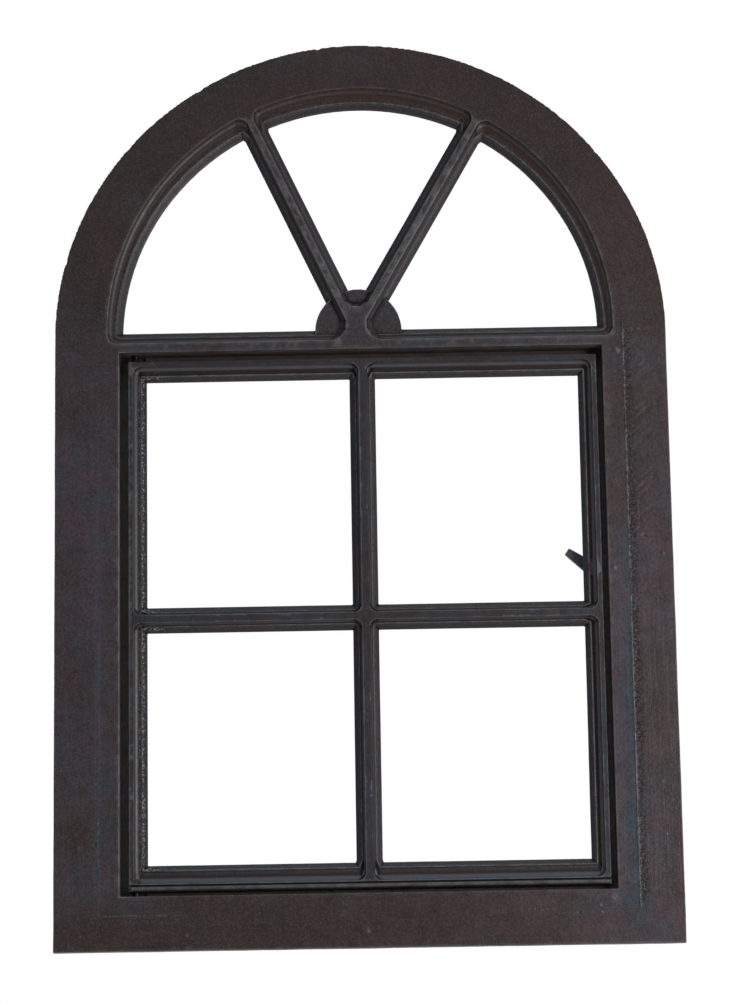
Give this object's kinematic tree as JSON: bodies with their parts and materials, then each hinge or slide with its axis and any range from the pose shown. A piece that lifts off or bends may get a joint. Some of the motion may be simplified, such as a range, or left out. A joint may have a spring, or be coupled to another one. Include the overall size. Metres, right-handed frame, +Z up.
{
  "type": "barn window",
  "caption": "Round-arched cast-iron barn window: wall flange and reveal with a moulded fanlight above a side-hung barred sash that opens outward and is held by a lever latch",
  "frame": {"origin": "middle of the bottom edge, in the plane of the flange's back that lies against the wall", "axes": "+Z up, +Y into the wall, -Y toward the viewer, +X to the right as seen from the front"},
  "size_m": [0.51, 0.034, 0.7674],
  "materials": {
    "frame_iron": "brushed dark brown paint over a sand-cast skin",
    "sash_iron": "brushed dark brown paint over a sand-cast skin",
    "pivot_steel": "bare, dull",
    "latch_iron": "painted dark brown",
    "screw_steel": "dull, partly painted"
  },
  "bodies": {
    "frame": {"outer_frame": "frame_iron"},
    "sash": {"sash": "sash_iron", "upper_pivot_pin": "pivot_steel", "lower_pivot_pin": "pivot_steel", "latch_screw": "screw_steel", "latch_washer": "screw_steel"},
    "latch": {"latch_lever": "latch_iron"}
  },
  "joints": [
    {"name": "sash_hinge", "type": "hinge", "parent": "frame", "child": "sash", "pos_m": [-0.1888, 0.0056, 0.27175], "axis": [0, 0, -1], "range_deg": [0, 95]},
    {"name": "latch_turn", "type": "hinge", "parent": "sash", "child": "latch", "pos_m": [0.1914, 0.0195, 0.3125], "axis": [0, -1, 0], "range_deg": [0, 104]}
  ]
}
